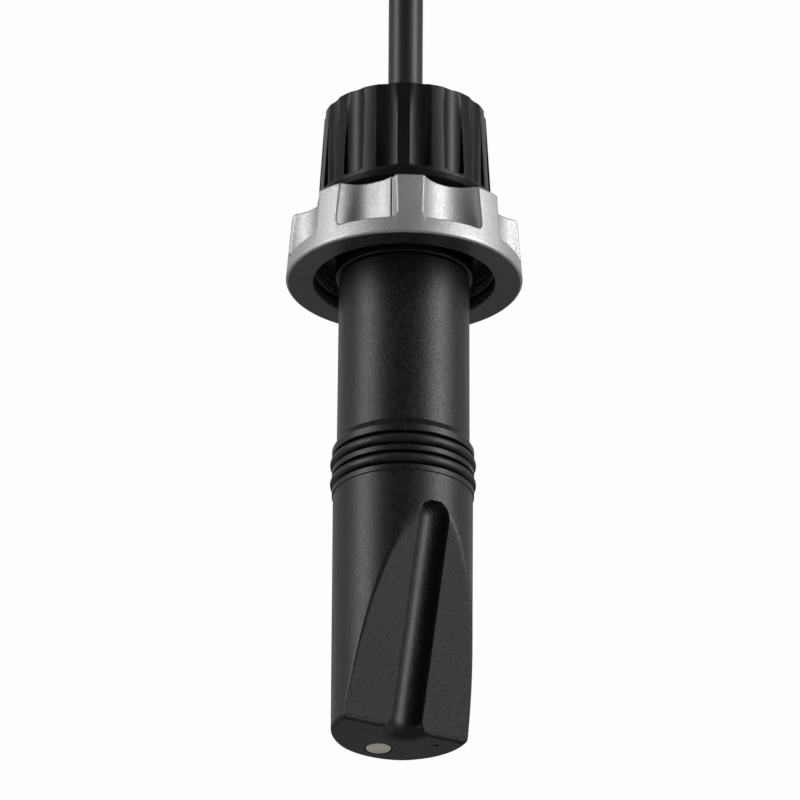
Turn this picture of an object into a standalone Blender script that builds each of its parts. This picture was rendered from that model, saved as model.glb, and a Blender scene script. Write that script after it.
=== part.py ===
"""In-line measuring probe held by a union nut, hanging tip down on its cable.

Lengths are in metres. Z is the probe's axis, up is +Z, and the origin is the centre of the gasket's
underside, the face that seats on the socket. The slanted face looks towards -Y and a little towards +X.
"""

import math

import bmesh
import bpy
from mathutils import Matrix, Vector

# Driving dimensions
BODY_R = 0.0180  # sensor head below the seals
LAND_R = 0.0183  # lands that guide the O-rings
TIP_Z = -0.1353  # underside of the tip
SHOULDER_Z = -0.0548  # top of the head's chamfered shoulder
COLLAR_R = 0.0178  # collar under the flange
COLLAR_Z = -0.00735  # lower end of the collar
FLANGE_R = 0.0224
NUT_BOTTOM_Z = -0.0083
NUT_TOP_Z = 0.0090
NUT_BOTTOM_R = 0.0308
NUT_TOP_R = 0.0293
NUT_LIP_Z = 0.0058  # underside of the lip that hangs on the flange
NUT_BORE_R = 0.0229
CAP_BOTTOM_Z = 0.0126
CAP_TOP_Z = 0.0396
CAP_BOTTOM_R = 0.0227
CAP_TOP_R = 0.0211
CABLE_R = 0.0045
GLAND_R = 0.0048
CAP_HOLE_R = 0.0049
BOOT_Z = 0.0920  # lower end of the connector's boot
GAP = 0.0003  # clearance between pieces that touch

# Slanted face: its outward direction seen from above, its lean from upright, and its lower edge
FACE_DIRECTION = Vector((0.468, -0.884, 0.0)).normalized()
FACE_LEAN = math.radians(15.7)
FACE_FOOT = 0.0022  # from the axis, at the tip's underside
GROOVE_R = 0.00435
GROOVE_OUT = 0.0009  # the groove's centre line stands this far in front of the face
GROOVE_TOP_Z = -0.0815  # centre of the groove's round end
CONTACT_X, CONTACT_Y = -0.00585, 0.0096
DIMPLE_X, DIMPLE_Y = 0.00865, 0.0070

SCALLOPS = 8
SCALLOP_R = 0.0107
SCALLOP_CENTRE = 0.0357
SCALLOP_FLOOR_Z = -0.0036  # the scallops stop here, above a plain band
FIRST_LOBE = math.radians(2.8)
LEDGE_DROP = 0.0002  # the ledges under the scallops and flutes slope down by this much
FLUTES = 15
FIRST_CAP_LAND = math.radians(-1.0)
CAP_LAND_HALF = math.radians(4.2)
FLUTE_FLOOR_R = 0.0207
FLUTE_EDGE_R = 0.02145
FLUTE_END_Z = 0.0150

ROUND = 40
MEDIUM = 28
SMALL = 16
TINY = 8

FINISHES = {
    "black_plastic": ((0.018, 0.018, 0.019), 0.52, 0.0),
    "cap_plastic": ((0.014, 0.014, 0.015), 0.38, 0.0),
    "satin_metal": ((0.74, 0.74, 0.75), 0.3, 1.0),
    "black_rubber": ((0.012, 0.012, 0.012), 0.6, 0.0),
    "contact_metal": ((0.66, 0.63, 0.58), 0.4, 0.9),
    "cable_jacket": ((0.02, 0.02, 0.021), 0.5, 0.0),
    "slip_plastic": ((0.8, 0.79, 0.74), 0.45, 0.0),
    "board_green": ((0.03, 0.2, 0.09), 0.45, 0.0),
    "chip_black": ((0.03, 0.03, 0.03), 0.5, 0.0),
    "shield_steel": ((0.6, 0.6, 0.6), 0.35, 1.0),
    "gold": ((0.85, 0.62, 0.25), 0.3, 1.0),
    "wire_brown": ((0.2, 0.09, 0.04), 0.5, 0.0),
    "wire_white": ((0.8, 0.8, 0.78), 0.5, 0.0),
    "wire_blue": ((0.04, 0.12, 0.45), 0.5, 0.0),
    "wire_red": ((0.5, 0.03, 0.03), 0.5, 0.0),
}


def clear_scene():
    for obj in list(bpy.data.objects):
        bpy.data.objects.remove(obj, do_unlink=True)


def finish_material(name):
    if name in bpy.data.materials:
        return bpy.data.materials[name]
    colour, roughness, metallic = FINISHES[name]
    material = bpy.data.materials.new(name)
    material.use_nodes = True
    shader = material.node_tree.nodes["Principled BSDF"]
    shader.inputs["Base Color"].default_value = (*colour, 1.0)
    shader.inputs["Roughness"].default_value = roughness
    shader.inputs["Metallic"].default_value = metallic
    return material


def named_object(name, bm, finish=None):
    """Turns a bmesh into an object, its faces pointing out and its round sides shaded smooth."""
    bmesh.ops.recalc_face_normals(bm, faces=bm.faces[:])
    mesh = bpy.data.meshes.new(name)
    bm.to_mesh(mesh)
    bm.free()
    mesh.shade_smooth()
    mesh.set_sharp_from_angle(angle=math.radians(30))
    obj = bpy.data.objects.new(name, mesh)
    bpy.context.scene.collection.objects.link(obj)
    if finish:
        mesh.materials.append(finish_material(finish))
    return obj


def turned(name, profile, finish=None, steps=MEDIUM, centre=(0.0, 0.0), loop=True):
    """A solid turned about a vertical line; profile is (radius, height) pairs."""
    bm = bmesh.new()
    points = [bm.verts.new((radius, 0.0, height)) for radius, height in profile]
    for i in range(len(points) if loop else len(points) - 1):
        bm.edges.new((points[i], points[(i + 1) % len(points)]))
    bmesh.ops.spin(
        bm,
        geom=bm.verts[:] + bm.edges[:],
        cent=(0, 0, 0),
        axis=(0, 0, 1),
        angle=2 * math.pi,
        steps=steps,
        use_merge=True,
    )
    bmesh.ops.remove_doubles(bm, verts=bm.verts[:], dist=1e-7)
    bmesh.ops.translate(bm, verts=bm.verts[:], vec=(*centre, 0.0))
    return named_object(name, bm, finish)


def ring_seal(name, ring_r, cord_r, height, finish="black_rubber", steps=MEDIUM, sides=8, centre=(0.0, 0.0)):
    """An O-ring lying flat at a height."""
    turns = [2 * math.pi * i / sides for i in range(sides)]
    profile = [(ring_r + cord_r * math.cos(t), height + cord_r * math.sin(t)) for t in turns]
    return turned(name, profile, finish, steps, centre)


def pipe_profile(inner, outer, bottom, top):
    return [(outer, top), (outer, bottom), (inner, bottom), (inner, top)]


def disc_profile(outer, bottom, top):
    return [(0.0, top), (outer, top), (outer, bottom), (0.0, bottom)]


def box(name, low, high, finish=None):
    bm = bmesh.new()
    size = Vector(high) - Vector(low)
    bmesh.ops.create_cube(bm, size=1.0)
    bmesh.ops.scale(bm, vec=size, verts=bm.verts[:])
    bmesh.ops.translate(bm, vec=Vector(low) + size / 2, verts=bm.verts[:])
    return named_object(name, bm, finish)


def tube_along(name, points, radius, finish, resolution=2):
    """A round cord through points, with filled ends."""
    curve = bpy.data.curves.new(name, "CURVE")
    curve.dimensions = "3D"
    curve.bevel_depth = radius
    curve.bevel_resolution = resolution
    curve.use_fill_caps = True
    spline = curve.splines.new("POLY")
    spline.points.add(len(points) - 1)
    for place, point in zip(spline.points, points):
        place.co = (*point, 1.0)
    curve.materials.append(finish_material(finish))
    obj = bpy.data.objects.new(name, curve)
    bpy.context.scene.collection.objects.link(obj)
    return obj


def smooth_route(knots, count):
    """Points along a Catmull-Rom curve through the knots."""
    ends = [knots[0]] + list(knots) + [knots[-1]]
    route = []
    for i in range(count):
        along = i / (count - 1) * (len(knots) - 1)
        k = min(int(along), len(knots) - 2)
        t = along - k
        a, b, c, d = (Vector(p) for p in ends[k : k + 4])
        slope = c - a
        bend = 2 * a - 5 * b + 4 * c - d
        twist = 3 * b - a - 3 * c + d
        route.append(0.5 * (2 * b + slope * t + bend * t**2 + twist * t**3))
    return route


def cut(obj, cutter):
    """Takes a hidden cutter away from an object."""
    cutter.hide_render = True
    cutter.display_type = "WIRE"
    modifier = obj.modifiers.new("cut_" + cutter.name, "BOOLEAN")
    modifier.operation = "DIFFERENCE"
    modifier.solver = "EXACT"
    modifier.object = cutter


def moves_about(obj, height):
    """Gives a turning piece its own empty on the axis at a height, with the piece's origin there."""
    axis = bpy.data.objects.new(obj.name + "_axis", None)
    bpy.context.scene.collection.objects.link(axis)
    axis.location = (0.0, 0.0, height)
    obj.data.transform(Matrix.Translation((0.0, 0.0, -height)))
    obj.parent = axis
    return obj


def ruled_ring(name, sections, azimuths, finish):
    """A ring whose section changes around it: each section gives (radius, height) at an azimuth."""
    bm = bmesh.new()
    hoops = []
    for section in sections:
        hoop = []
        for azimuth in azimuths:
            radius, height = section(azimuth)
            hoop.append(bm.verts.new((radius * math.sin(azimuth), -radius * math.cos(azimuth), height)))
        hoops.append(hoop)
    columns = len(azimuths)
    for i, hoop in enumerate(hoops):
        following = hoops[(i + 1) % len(hoops)]
        for j in range(columns):
            k = (j + 1) % columns
            bm.faces.new((hoop[j], hoop[k], following[k], following[j]))
    return named_object(name, bm, finish)


def plain(radius, height):
    return lambda azimuth: (radius, height)


def face_point(height, out=0.0):
    """The point of the slanted face's middle line at a height, moved out along the face's normal."""
    reach = FACE_FOOT + (height - TIP_Z) * math.tan(FACE_LEAN)
    return FACE_DIRECTION * reach + Vector((0, 0, height)) + face_normal() * out


def face_normal():
    return FACE_DIRECTION * math.cos(FACE_LEAN) - Vector((0, 0, math.sin(FACE_LEAN)))


def face_frame(origin):
    """A matrix whose Z is the slanted face's normal and whose Y runs up the face."""
    normal = face_normal()
    up = FACE_DIRECTION * math.sin(FACE_LEAN) + Vector((0, 0, math.cos(FACE_LEAN)))
    matrix = Matrix((up.cross(normal), up, normal)).transposed().to_4x4()
    matrix.translation = origin
    return matrix


def face_cutter():
    reach = 0.09
    bm = bmesh.new()
    bmesh.ops.create_cube(bm, size=2 * reach)
    bmesh.ops.translate(bm, verts=bm.verts[:], vec=(0, 0, reach))
    bmesh.ops.transform(bm, verts=bm.verts[:], matrix=face_frame(face_point(TIP_Z)))
    return named_object("slanted_face_cutter", bm)


def groove_cutter():
    """A round-ended bar that lies along the slanted face, its round end uppermost."""
    length = 0.075
    turns = [math.radians(22.5 * i) for i in range(1, 5)]
    arc = [(GROOVE_R * math.sin(t), GROOVE_R * math.cos(t)) for t in turns]
    profile = [(0.0, GROOVE_R)] + arc + [(GROOVE_R, -length), (0.0, -length)]
    bar = turned("groove_cutter", profile, steps=20, loop=False)
    frame = face_frame(face_point(GROOVE_TOP_Z, GROOVE_OUT))
    bar.data.transform(frame @ Matrix.Rotation(-math.pi / 2, 4, "X"))
    return bar


def make_sensor_head():
    profile = [
        (0.0, -0.0785),
        (0.0123, -0.0785),
        (0.0123, -0.0460),
        (0.0147, -0.0460),
        (0.0147, -0.0486),
        (0.0136, -0.0486),
        (0.0136, -0.0500),
        (0.0147, -0.0500),
        (0.0147, SHOULDER_Z),
        (0.0171, SHOULDER_Z),
        (LAND_R, -0.0567),
        (LAND_R, -0.0586),
        (0.0158, -0.0586),
        (0.0158, -0.0624),
        (LAND_R, -0.0624),
        (LAND_R, -0.06406),
        (0.0158, -0.06406),
        (0.0158, -0.06786),
        (LAND_R, -0.06786),
        (LAND_R, -0.06941),
        (BODY_R, -0.0696),
        (BODY_R, TIP_Z + 0.0015),
        (BODY_R - 0.0015, TIP_Z),
        (0.0, TIP_Z),
    ]
    head = turned("sensor_head", profile, "black_plastic", ROUND, loop=False)
    cut(head, face_cutter())
    cut(head, groove_cutter())
    middle = (CONTACT_X, CONTACT_Y)
    recess = [(0.0, -0.077), (0.0011, -0.077), (0.0011, TIP_Z + 0.0036), (0.0036, TIP_Z + 0.0036)]
    recess += [(0.0036, TIP_Z - 0.001), (0.0, TIP_Z - 0.001)]
    cut(head, turned("contact_cutter", recess, steps=SMALL, centre=middle, loop=False))
    dimple = disc_profile(0.0009, TIP_Z - 0.001, TIP_Z + 0.0008)
    cut(head, turned("dimple_cutter", dimple, steps=TINY, centre=(DIMPLE_X, DIMPLE_Y), loop=False))


def make_seals():
    ring_seal("o_ring_upper", 0.01746, 0.00131, -0.0605, steps=ROUND)
    ring_seal("o_ring_lower", 0.01746, 0.00131, -0.06596, steps=ROUND)
    ring_seal("spigot_seal", 0.0143, 0.00055, -0.0493, sides=6)
    ring_seal("cap_seal", 0.01775, 0.0011, 0.0153, sides=8)


def make_tube():
    outer_top, outer_bottom, inner = 0.0169, 0.0171, 0.0150
    top, bottom = COLLAR_Z - GAP, SHOULDER_Z + GAP
    profile = [(outer_top, top), (outer_bottom, bottom), (inner, bottom), (inner, top)]
    turned("upper_tube", profile, "black_plastic", ROUND)


def make_neck():
    root, crest, pitch = 0.0176, 0.0184, 0.0025
    thread = [(root, 0.0285)]
    for i in range(4):
        top = 0.0285 - i * pitch
        thread += [(crest, top - 0.4 * pitch), (crest, top - 0.6 * pitch), (root, top - pitch)]
    profile = [(0.0099, 0.0300), (0.0168, 0.0300)] + thread
    profile += [
        (0.0185, 0.0178),
        (0.0185, 0.0167),
        (0.0164, 0.0167),
        (0.0164, 0.0139),
        (0.0185, 0.0139),
        (0.0185, 0.0043),
        (FLANGE_R, 0.0043),
        (FLANGE_R, 0.0020),
        (COLLAR_R, 0.0020),
        (COLLAR_R, COLLAR_Z + 0.0003),
        (COLLAR_R - 0.0003, COLLAR_Z),
        (0.0147, COLLAR_Z),
        (0.0147, -0.0150),
        (0.0126, -0.0150),
        (0.0126, 0.0150),
        (0.0050, 0.0150),
        (0.0050, 0.0219),
        (0.0071, 0.0219),
    ]
    turned("neck_housing", profile, "black_plastic", MEDIUM)
    turned("flange_gasket", pipe_profile(0.0181, 0.0220, 0.0, 0.0017), "black_rubber", MEDIUM)
    washer = pipe_profile(0.0189, 0.0223, 0.0043 + GAP, NUT_LIP_Z - GAP)
    turned("thrust_washer", washer, "slip_plastic", MEDIUM)


def nut_wall(height):
    """Outer radius of the nut's lobes, a cone that widens downwards."""
    along = (NUT_TOP_Z - height) / (NUT_TOP_Z - NUT_BOTTOM_Z)
    return NUT_TOP_R + (NUT_BOTTOM_R - NUT_TOP_R) * along


def scallop_floor(height):
    """Section of the nut at a height: the lobes' cone, hollowed by a round scallop between lobes."""
    pitch = 2 * math.pi / SCALLOPS

    def section(azimuth):
        off = (azimuth - FIRST_LOBE) % pitch - pitch / 2
        inside = SCALLOP_R**2 - (SCALLOP_CENTRE * math.sin(off)) ** 2
        wall = nut_wall(height)
        if inside <= 0:
            return wall, height
        return min(wall, SCALLOP_CENTRE * math.cos(off) - math.sqrt(inside)), height

    return section


def make_union_nut():
    pitch = 2 * math.pi / SCALLOPS
    across = [-15.6, -13.5, -9.5, -5.0, 0.0, 5.0, 9.5, 13.5, 15.6, 22.5]
    offsets = [math.radians(angle) for angle in across]
    azimuths = [FIRST_LOBE + pitch * (i + 0.5) + off for i in range(SCALLOPS) for off in offsets]
    edge = 0.0009
    sections = [
        plain(0.0190, NUT_TOP_Z),
        scallop_floor(NUT_TOP_Z),
        scallop_floor(SCALLOP_FLOOR_Z),
        plain(nut_wall(SCALLOP_FLOOR_Z), SCALLOP_FLOOR_Z - LEDGE_DROP),
        plain(NUT_BOTTOM_R, NUT_BOTTOM_Z + edge),
        plain(NUT_BOTTOM_R - edge / 3, NUT_BOTTOM_Z + edge / 3),
        plain(NUT_BOTTOM_R - edge, NUT_BOTTOM_Z),
        plain(0.0235, NUT_BOTTOM_Z),
        plain(0.0235, -0.0061),
        plain(0.0247, -0.0061),
        plain(0.0247, -0.0049),
        plain(NUT_BORE_R, -0.0049),
        plain(NUT_BORE_R, NUT_LIP_Z),
        plain(0.0190, NUT_LIP_Z),
    ]
    nut = ruled_ring("union_nut", sections, azimuths, "satin_metal")
    moves_about(nut, NUT_LIP_Z)


def cap_wall(height):
    along = (CAP_TOP_Z - height) / (CAP_TOP_Z - CAP_BOTTOM_Z)
    return CAP_TOP_R + (CAP_BOTTOM_R - CAP_TOP_R) * along


def fluted(height):
    """Section of the cap: its cone, with a shallow hollow flute between lands."""
    pitch = 2 * math.pi / FLUTES
    half = pitch / 2 - CAP_LAND_HALF

    def section(azimuth):
        off = abs((azimuth - FIRST_CAP_LAND) % pitch - pitch / 2)
        wall = cap_wall(height)
        if off > half * 1.02:
            return wall, height
        floor = FLUTE_FLOOR_R + (FLUTE_EDGE_R - FLUTE_FLOOR_R) * (off / half) ** 2
        return min(wall, floor), height

    return section


def make_cap():
    pitch = 2 * math.pi / FLUTES
    half = pitch / 2 - CAP_LAND_HALF
    across = [-half - 0.003, -half, -0.5 * half, 0.0, 0.5 * half, half, half + 0.003]
    azimuths = [FIRST_CAP_LAND + pitch * (i + 0.5) + off for i in range(FLUTES) for off in across]
    bore = 0.01915
    sections = [
        plain(CAP_HOLE_R, CAP_TOP_Z + 0.0030),
        plain(0.0085, CAP_TOP_Z + 0.0030),
        plain(0.0105, CAP_TOP_Z),
        fluted(CAP_TOP_Z),
        fluted(FLUTE_END_Z),
        plain(cap_wall(FLUTE_END_Z), FLUTE_END_Z - LEDGE_DROP),
        plain(CAP_BOTTOM_R, CAP_BOTTOM_Z + 0.0014),
        plain(CAP_BOTTOM_R - 0.0009, CAP_BOTTOM_Z),
        plain(bore, CAP_BOTTOM_Z),
        plain(bore, 0.0329),
        plain(CAP_HOLE_R, 0.0329),
    ]
    moves_about(ruled_ring("cap_nut", sections, azimuths, "cap_plastic"), CAP_BOTTOM_Z)
    turned("cap_thrust_ring", pipe_profile(0.0050, 0.0105, 0.0309, 0.0326), "slip_plastic")
    bush = [(0.0093, 0.0306), (0.0093, 0.0288), (0.0066, 0.0222), (GLAND_R, 0.0222), (GLAND_R, 0.0306)]
    turned("gland_seal", bush, "black_rubber")


def make_inside():
    box("circuit_board", (-0.0105, 0.0002, -0.0760), (0.0105, 0.0018, -0.0120), "board_green")
    box("terminal_block", (-0.0070, -0.0061, -0.0220), (0.0070, -0.0001, -0.0140), "chip_black")
    box("signal_chip", (-0.0040, -0.0021, -0.0420), (0.0040, -0.0001, -0.0340), "chip_black")
    box("shield_can", (-0.0075, -0.0041, -0.0660), (0.0075, -0.0001, -0.0500), "shield_steel")
    slot_low, slot_high = (-0.0108, -0.0001, -0.09), (0.0108, 0.0021, 0.0)
    for name, outer, bottom, top in (
        ("board_support_upper", 0.0147, -0.0285, -0.0255),
        ("board_support_lower", 0.0120, -0.0720, -0.0690),
    ):
        support = turned(name, pipe_profile(0.0085, outer, bottom, top), "chip_black")
        cut(support, box(name + "_slot", slot_low, slot_high))
    colours = ("wire_brown", "wire_white", "wire_blue", "wire_red")
    for i, colour in enumerate(colours):
        side = (i - 1.5) * 0.0030
        knots = [
            (side * 0.35, -0.0010 + 0.0006 * (i % 2), 0.0117),
            (side * 0.7, -0.0022, 0.0040),
            (side * 1.1, -0.0045, -0.0050),
            (side, -0.0031, -0.0137),
        ]
        tube_along(f"conductor_{i + 1}", smooth_route(knots, 9), 0.0005, colour)
    turned("cable_core", disc_profile(0.0030, 0.0120, 0.0237), "chip_black", SMALL, loop=False)


def make_contact():
    middle = (CONTACT_X, CONTACT_Y)
    button = [(0.0, -0.0760), (0.0008, -0.0760), (0.0008, TIP_Z + 0.0024), (0.0033, TIP_Z + 0.0024)]
    button += [(0.0033, TIP_Z), (0.0, TIP_Z)]
    turned("contact_button", button, "contact_metal", SMALL, middle, loop=False)
    ring_seal("contact_seal", 0.0018, 0.00045, TIP_Z + 0.0030, steps=SMALL, sides=6, centre=middle)
    lead = [
        (CONTACT_X, CONTACT_Y, -0.0757),
        (-0.0050, 0.0078, -0.0746),
        (-0.0037, 0.0058, -0.0727),
        (-0.0027, 0.0045, -0.0690),
        (-0.0020, 0.0026, -0.0655),
    ]
    tube_along("contact_lead", smooth_route(lead, 10), 0.0004, "wire_white")


def make_cable():
    # 25 mm of the route lies inside the gland and cap, and the last 6 mm inside the connector's boot.
    steps = 9
    low, high = 0.0240, 0.0980
    route = [(0.0, 0.0, low + (high - low) * i / (steps - 1)) for i in range(steps)]
    tube_along("cable", route, CABLE_R, "cable_jacket", 3)


def make_connector():
    boot = [(0.0078, 0.1095), (0.0054, BOOT_Z), (GLAND_R, BOOT_Z), (GLAND_R, 0.0983), (0.0, 0.0983)]
    turned("connector_boot", [(0.0, 0.1095)] + boot, "black_rubber", MEDIUM, loop=False)
    body = [(0.0, 0.1098), (0.0081, 0.1098), (0.0081, 0.1240), (0.0059, 0.1240), (0.0059, 0.1288)]
    body += [(0.0065, 0.1288), (0.0065, 0.1300), (0.0059, 0.1300), (0.0059, 0.1330)]
    body += [(0.0052, 0.1330), (0.0052, 0.1260), (0.0, 0.1260)]
    turned("connector_body", body, "cap_plastic", MEDIUM, loop=False)
    ring_seal("connector_seal", 0.0068, 0.00045, 0.1252, steps=MEDIUM, sides=6)
    nut = [(0.0076, 0.1243), (0.0083, 0.1248), (0.0083, 0.1385), (0.0078, 0.1390), (0.0069, 0.1390)]
    nut += [(0.0069, 0.1284), (0.0062, 0.1284), (0.0062, 0.1270), (0.0076, 0.1270)]
    moves_about(turned("connector_nut", nut, "satin_metal", MEDIUM), 0.1270)
    insert = turned("connector_insert", disc_profile(0.0049, 0.1263, 0.1345), "chip_black", SMALL, loop=False)
    for i in range(4):
        turn = math.radians(45 + 90 * i)
        place = (0.0024 * math.cos(turn), 0.0024 * math.sin(turn))
        socket = disc_profile(0.0008, 0.1290, 0.1400)
        cut(insert, turned(f"pin_cutter_{i + 1}", socket, steps=TINY, centre=place, loop=False))
        pin = disc_profile(0.0005, 0.1293, 0.1380)
        turned(f"connector_pin_{i + 1}", pin, "gold", TINY, place, loop=False)


def main():
    clear_scene()
    make_sensor_head()
    make_seals()
    make_tube()
    make_neck()
    make_union_nut()
    make_cap()
    make_inside()
    make_contact()
    make_cable()
    make_connector()


main()
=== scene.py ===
# %% [markdown]
# # An in-line measuring probe on its cable
#
# The object is a slim black probe that a union nut clamps into a pipe socket. It hangs tip down on its
# cable: screw cap, union nut, plain tube, a sensor head with two O-rings, and a slanted face with a
# groove. The frame is the finished engineering model. It fixes every size and every joint, so this
# script only makes the surfaces that an eye would judge: edges that are rounded, plastic that has a
# moulded grain, metal that is cast and blasted.

# %% The frame
import math

import bmesh
import bpy
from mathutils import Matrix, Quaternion, Vector


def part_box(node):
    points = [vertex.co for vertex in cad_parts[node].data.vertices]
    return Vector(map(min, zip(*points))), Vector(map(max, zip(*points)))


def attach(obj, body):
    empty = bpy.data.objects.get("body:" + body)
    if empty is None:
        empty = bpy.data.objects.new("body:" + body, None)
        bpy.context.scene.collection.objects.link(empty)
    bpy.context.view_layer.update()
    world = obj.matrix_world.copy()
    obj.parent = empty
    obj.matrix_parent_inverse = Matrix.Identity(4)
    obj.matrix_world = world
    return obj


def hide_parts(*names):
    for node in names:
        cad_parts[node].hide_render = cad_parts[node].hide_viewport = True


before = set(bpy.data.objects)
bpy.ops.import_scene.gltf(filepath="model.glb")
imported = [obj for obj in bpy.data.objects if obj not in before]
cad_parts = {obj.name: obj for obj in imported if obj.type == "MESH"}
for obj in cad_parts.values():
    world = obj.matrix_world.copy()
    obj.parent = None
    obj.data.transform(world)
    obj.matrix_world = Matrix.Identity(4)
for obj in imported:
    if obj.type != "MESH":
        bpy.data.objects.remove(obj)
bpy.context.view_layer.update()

# %% [markdown]
# ## The camera
#
# The probe is seen from the front and from well below, through a very long lens, so its sides stay
# almost parallel. A camera of that kind is easier to place by the direction it looks in than by its
# coordinates: a target on the axis, a climb angle and a distance. The small roll matches a probe that
# doesn't hang quite plumb.

# %% Camera
CLIMB = math.radians(25.0)
CAMERA_DISTANCE = 2.55
CAMERA_ROLL = math.radians(0.36)
AIM = Vector((-0.0009, 0.0, -0.0417))


def look_at(obj, target, roll=0.0):
    facing = (target - obj.location).to_track_quat("-Z", "Y")
    obj.rotation_mode = "QUATERNION"
    obj.rotation_quaternion = facing @ Quaternion((0, 0, 1), roll)


scene = bpy.context.scene
lens = bpy.data.cameras.new("long_lens")
lens.lens = 445.0
lens.clip_end = 100.0
camera = bpy.data.objects.new("camera", lens)
scene.collection.objects.link(camera)
camera.location = AIM + CAMERA_DISTANCE * Vector((0, -math.cos(CLIMB), -math.sin(CLIMB)))
look_at(camera, AIM, CAMERA_ROLL)
scene.camera = camera
print("camera height, m:", round(camera.location.z, 3))

# %% [markdown]
# ## The cable
#
# The cable is held straight between the gland and the moulded connector, so its route is a plain run
# up the axis. A curve with a round bevel is the natural way to make a cord: the line is the route and
# the bevel is the jacket. Its lower end is gripped inside the cap, and its upper end is moulded into
# the connector's boot.

# %% Cable
CABLE_R = 0.0045
GLAND_R = 0.0048
CABLE_FOOT, CABLE_TOP = 0.0240, 0.0980


def make_cable():
    steps = 17
    line = bpy.data.curves.new("signal_cable", "CURVE")
    line.dimensions = "3D"
    line.bevel_depth = CABLE_R
    line.bevel_resolution = 14
    line.use_fill_caps = True
    spline = line.splines.new("POLY")
    spline.points.add(steps - 1)
    for i, point in enumerate(spline.points):
        point.co = (0.0, 0.0, CABLE_FOOT + (CABLE_TOP - CABLE_FOOT) * i / (steps - 1), 1.0)
    spline.use_smooth = True
    cable = bpy.data.objects.new("signal_cable", line)
    scene.collection.objects.link(cable)
    return cable


cable = make_cable()

# %% [markdown]
# ## Arithmetic on a surface
#
# A finish is made of numbers that change over a surface: grain, wear, a soft band of shine. Blender
# adds and multiplies such numbers with Math nodes. Writing them as Python expressions is far easier
# to read, so one small class wraps a socket and turns each operator into its node. Every other kind
# of node comes from one method of a finish.

# %% Sockets that do arithmetic
class Varying:
    """A number or colour that changes over a surface."""

    def __init__(self, tree, socket):
        self.tree = tree
        self.socket = socket

    def maths(self, operation, *terms):
        node = self.tree.nodes.new("ShaderNodeMath")
        node.operation = operation
        for place, term in zip(node.inputs, terms):
            connect(self.tree, place, term)
        return Varying(self.tree, node.outputs[0])

    def __add__(self, other):
        return self.maths("ADD", self, other)

    def __radd__(self, other):
        return self.maths("ADD", other, self)

    def __sub__(self, other):
        return self.maths("SUBTRACT", self, other)

    def __rsub__(self, other):
        return self.maths("SUBTRACT", other, self)

    def __mul__(self, other):
        return self.maths("MULTIPLY", self, other)

    def __rmul__(self, other):
        return self.maths("MULTIPLY", other, self)

    def __truediv__(self, other):
        return self.maths("DIVIDE", self, other)

    def sine(self):
        return self.maths("SINE", self)

    def root(self):
        return self.maths("SQRT", self)

    def least(self, other):
        return self.maths("MINIMUM", self, other)

    def most(self, other):
        return self.maths("MAXIMUM", self, other)

    def rise(self, start, end):
        """0 below start, 1 above end, with a smooth rise between. Start may lie above end."""
        share = ((self - start) / (end - start)).most(0.0).least(1.0)
        return share * share * (3.0 - 2.0 * share)


def connect(tree, place, value):
    if isinstance(value, Varying):
        tree.links.new(value.socket, place)
    else:
        place.default_value = value


print("named operations:", [name for name in vars(Varying) if not name.startswith("_")])


# %% A finish and its nodes
class Finish:
    """A material with one Principled shader, and the one method that adds any other node."""

    def __init__(self, name, **constants):
        self.material = bpy.data.materials.new(name)
        self.material.use_nodes = True
        self.tree = self.material.node_tree
        self.shader = self.tree.nodes["Principled BSDF"]
        self.wear(**constants)
        self.place = self.node("TexCoord", out="Object")
        axes = self.tree.nodes.new("ShaderNodeSeparateXYZ")
        connect(self.tree, axes.inputs[0], self.place)
        self.x, self.y, self.z = (Varying(self.tree, axes.outputs[i]) for i in range(3))

    def node(self, kind, settings=None, out=0, **sockets):
        node = self.tree.nodes.new("ShaderNode" + kind)
        for name, value in (settings or {}).items():
            setattr(node, name, value)
        for name, value in sockets.items():
            connect(self.tree, node.inputs[name.replace("_", " ")], value)
        return Varying(self.tree, node.outputs[out])

    def wear(self, **sockets):
        """Gives the shader's sockets their values or links."""
        for name, value in sockets.items():
            if isinstance(value, tuple):
                value = (*value, 1.0)
            connect(self.tree, self.shader.inputs[name.replace("_", " ")], value)
        return self

    def noise(self, size, detail=2.0, roughness=0.5, place=None):
        """Soft random blots whose size is in metres, from 0 to 1."""
        where = self.place if place is None else place
        return self.node("TexNoise", Vector=where, Scale=1.0 / size, Detail=detail, Roughness=roughness)

    def stretched(self, x, y, z):
        """The place on the surface, scaled along each axis."""
        return self.node("Mapping", Vector=self.place, Scale=(x, y, z))

    def blend(self, share, one, other):
        """One colour where share is 0, the other where it is 1."""
        mix = self.tree.nodes.new("ShaderNodeMix")
        mix.data_type = "RGBA"
        connect(self.tree, mix.inputs["Factor"], share)
        for place, colour in ((mix.inputs[6], one), (mix.inputs[7], other)):
            connect(self.tree, place, (*colour, 1.0) if isinstance(colour, tuple) else colour)
        return Varying(self.tree, mix.outputs[2])

    def relief(self, height, depth):
        """Bumps of a real depth, in metres, where height goes from 0 to 1."""
        normal = self.node("Bump", Height=height, Distance=depth, Strength=1.0, out="Normal")
        return self.wear(Normal=normal)


print("a finish has:", [name for name in vars(Finish) if not name.startswith("_")])

# %% [markdown]
# ## Moulded black plastic
#
# The tube and the sensor head are moulded in a tool whose walls were spark-eroded, which leaves a fine
# matt grain. Two sizes of noise make it: a grain of a few tenths of a millimetre that lifts the
# surface by microns and speckles its colour, and a slow cloud that changes the shine from place to
# place. The base is nearly black, because the plastic's grey look comes from light that skims the
# grain. The flats are milled, so they are rougher and take less shine. The groove between them is
# given a lighter copy of the black, which is painted fill light in the groove. The cap is glossier
# than the tube, and the seals are rubber.

# %% Plastic finishes
def make_plastic(name, shine):
    """The start of every plastic: no metal in it, and a constant strength of shine."""
    finish = Finish(name, Metallic=0.0)
    finish.shader.inputs["Specular IOR Level"].default_value = shine
    return finish


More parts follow.
